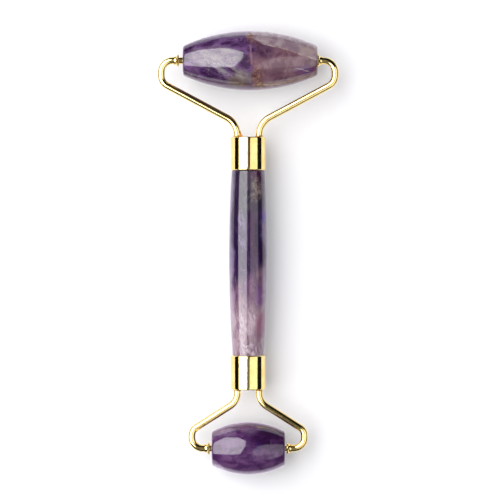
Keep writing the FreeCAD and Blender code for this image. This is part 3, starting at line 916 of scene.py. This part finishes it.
def build_handle(material):
    """The turned stone handle with a tenon at each end."""
    large, small = HEADS["large"], HEADS["small"]
    top, bottom = large["ferrule_start"], -small["ferrule_start"]
    inward = Vector((0, -1))
    arc = arc_between(Vector((bottom, small["shoulder"])), Vector((top, large["shoulder"])),
                      HANDLE_ARC, inward, HANDLE_STEPS)
    arc[-1] = (top, large["shoulder"] - SHOULDER_CHAMFER)
    arc.insert(-1, (top - SHOULDER_CHAMFER, large["shoulder"]))
    profile = [(bottom - TENON_LENGTH, TENON - SHOULDER_CHAMFER),
               (bottom - TENON_LENGTH + SHOULDER_CHAMFER, TENON), (bottom, TENON)]
    profile += arc
    profile += [(top, TENON), (top + TENON_LENGTH - SHOULDER_CHAMFER, TENON),
                (top + TENON_LENGTH, TENON - SHOULDER_CHAMFER)]
    ground = hand_ground("handle", HANDLE_GRINDING)

    def ripple(along, angle):
        return ground(along, angle) if bottom < along < top else 0.0

    points, faces = lathe(profile, HANDLE_AROUND, "Y", "capped", ripple)
    grip = piece("handle_grip_stone", points, faces, handle_matrix(), material)
    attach(grip, "frame")
    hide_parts("handle_stone")


def repaint(node, material):
    """Give a CAD node that stays in view its material."""
    shown = frame["nodes"][node]
    shown.data.materials.clear()
    shown.data.materials.append(material)


def build_roller():
    """Every visible piece of the roller."""
    on_handle = handle_matrix().translation
    plate = gold_look("gold_plate", on_handle, (1.0, 0.15, 1.0))
    wire_plate = gold_look("gold_wire", on_handle, (0.7, 0.7, 0.7))
    nylon = nylon_look()
    braze = braze_look(on_handle)
    epoxy = epoxy_look()
    build_handle(handle_amethyst())
    build_barrel("large", large_amethyst())
    build_barrel("small", small_amethyst())
    for head in HEADS:
        build_ferrule(head, plate)
        for side in SIDES:
            build_arm(head, side, wire_plate)
            build_collar(head, side, wire_plate)
            build_bush(head, side, nylon)
        repaint(head + "_braze", braze)
        repaint(head + "_ferrule_epoxy", epoxy)


# ------------------------------------------------------------------ studio

def softbox(name, radiance, corners):
    """Overhead diffuser that lights and reflects but isn't seen, with corners (x, y) in heights."""
    mesh = bpy.data.meshes.new(name)
    points = [(x * BOX_HEIGHT, y * BOX_HEIGHT, BOX_HEIGHT) for x, y in corners]
    mesh.from_pydata(points, [], [tuple(range(len(points)))])
    material = bpy.data.materials.new(name)
    material.use_nodes = True
    tree = material.node_tree
    tree.nodes.clear()
    glow = tree.nodes.new("ShaderNodeEmission")
    glow.inputs["Strength"].default_value = radiance
    tree.links.new(glow.outputs[0], tree.nodes.new("ShaderNodeOutputMaterial").inputs[0])
    mesh.materials.append(material)
    box = bpy.data.objects.new(name, mesh)
    bpy.context.scene.collection.objects.link(box)
    box.visible_camera = False
    box.visible_shadow = False
    return box


def flag(name, start, end, height):
    """Black card that only reflections see, standing on the table from start to end."""
    mesh = bpy.data.meshes.new(name)
    corners = [(*start, 0), (*end, 0), (*end, height), (*start, height)]
    mesh.from_pydata(corners, [], [(0, 1, 2, 3)])
    look = Look(name)
    felt = look.fade(look.noise(look.local((0, 0, 0)), 0.5, 2.0), 0.3, 0.7, 0.9, 1.0)
    shade = look.blend(felt, (0.002, 0.002, 0.002, 1), (0.004, 0.004, 0.004, 1))
    mesh.materials.append(look.finish(Base_Color=shade, Roughness=1.0, Specular_IOR_Level=0.0))
    card = bpy.data.objects.new(name, mesh)
    bpy.context.scene.collection.objects.link(card)
    card.visible_camera = False
    card.visible_diffuse = False
    card.visible_shadow = False


def build_floor():
    """Plain white table with a faint paper tooth and a faint glow that lightens its shadows."""
    reach = TABLE_REACH
    mesh = bpy.data.meshes.new("table")
    mesh.from_pydata([(-reach, -reach, 0), (reach, -reach, 0), (reach, reach, 0),
                      (-reach, reach, 0)], [], [(0, 1, 2, 3)])
    look = Look("white_card")
    spot = look.local((0, 0, 0))
    tone = look.blend(look.noise(spot, 0.02, 3.0), linear(198, 198, 200), linear(203, 202, 204))
    tooth = look.bump(look.noise(spot, 2.5, 3.0), 0.04, 0.02)
    rough = look.fade(look.noise(spot, 0.5, 2.0), 0.3, 0.7, 0.6, 0.75)
    mesh.materials.append(look.finish(Base_Color=tone, Roughness=rough, Normal=tooth,
                                      Specular_IOR_Level=0.2, Emission_Color=(0.97, 0.96, 1, 1),
                                      Emission_Strength=0.2))
    table = bpy.data.objects.new("table", mesh)
    bpy.context.scene.collection.objects.link(table)


def build_softboxes():
    """A bright box on the left and a dimmer one on the right, a dim gap for the camera, a dim card
    in front, and a fill that lightens the shadows without showing in reflections."""
    softbox("left_softbox", 4.9, [(-0.08, 0.19), (-0.09, 0.64), (-0.40, 1.22), (-1.45, 2.05),
                                  (-1.90, 1.30), (-1.90, -1.05), (-0.24, -0.49)])
    softbox("right_softbox", 1.3, [(0.08, -0.30), (0.30, 0.20), (0.50, 0.33), (1.70, 0.65),
                                   (2.00, 0.00), (1.70, -1.55), (0.93, -1.55), (0.12, -0.62)])
    softbox("camera_gap", 0.2, [(-0.10, -0.5), (0.10, -0.5), (0.10, 0.5), (-0.10, 0.5)])
    softbox("front_card", 0.22, [(-1.2, -1.7), (1.2, -1.7), (0.9, -0.6), (-0.9, -0.6)])
    fill = softbox("fill", 0.7, [(-1.0, -1.0), (1.0, -1.0), (1.0, 1.0), (-1.0, 1.0)])
    fill.visible_glossy = False


def build_flags():
    """Black cards on the table all round the roller, which edge its reflections."""
    side, back, front = 0.095, 0.105, -0.096
    tall, low = 0.03, 0.02
    flag("left_flag", (-side, -side), (-side, back), tall)
    flag("right_flag", (side, -side), (side, back), tall)
    flag("back_flag", (-side, back), (side, back), tall)
    flag("front_flag", (-side, front), (side, front), low)


def build_world():
    """A nearly black, bluish room."""
    world = bpy.data.worlds.new("studio")
    world.use_nodes = True
    backdrop = world.node_tree.nodes["Background"]
    backdrop.inputs["Color"].default_value = (0.9, 0.93, 1.0, 1)
    backdrop.inputs["Strength"].default_value = 0.014
    bpy.context.scene.world = world


def build_camera():
    """Straight down on the roller, from far enough away that the view is nearly parallel."""
    view_width = 162.5 * MM
    lens, sensor = 250.0, 36.0
    # the roller lies a little left of the frame's middle and a little below it
    framing = Vector((0.6, 0.94, 0)) * MM
    camera = bpy.data.cameras.new("camera")
    camera.lens = lens
    camera.sensor_width = sensor
    holder = bpy.data.objects.new("camera", camera)
    bpy.context.scene.collection.objects.link(holder)
    holder.location = (cad_low + cad_high) / 2 + framing
    holder.location.z += view_width * lens / sensor
    bpy.context.scene.camera = holder


build_roller()
build_floor()
build_softboxes()
build_flags()
build_world()
build_camera()
bpy.context.scene.view_settings.view_transform = "Standard"
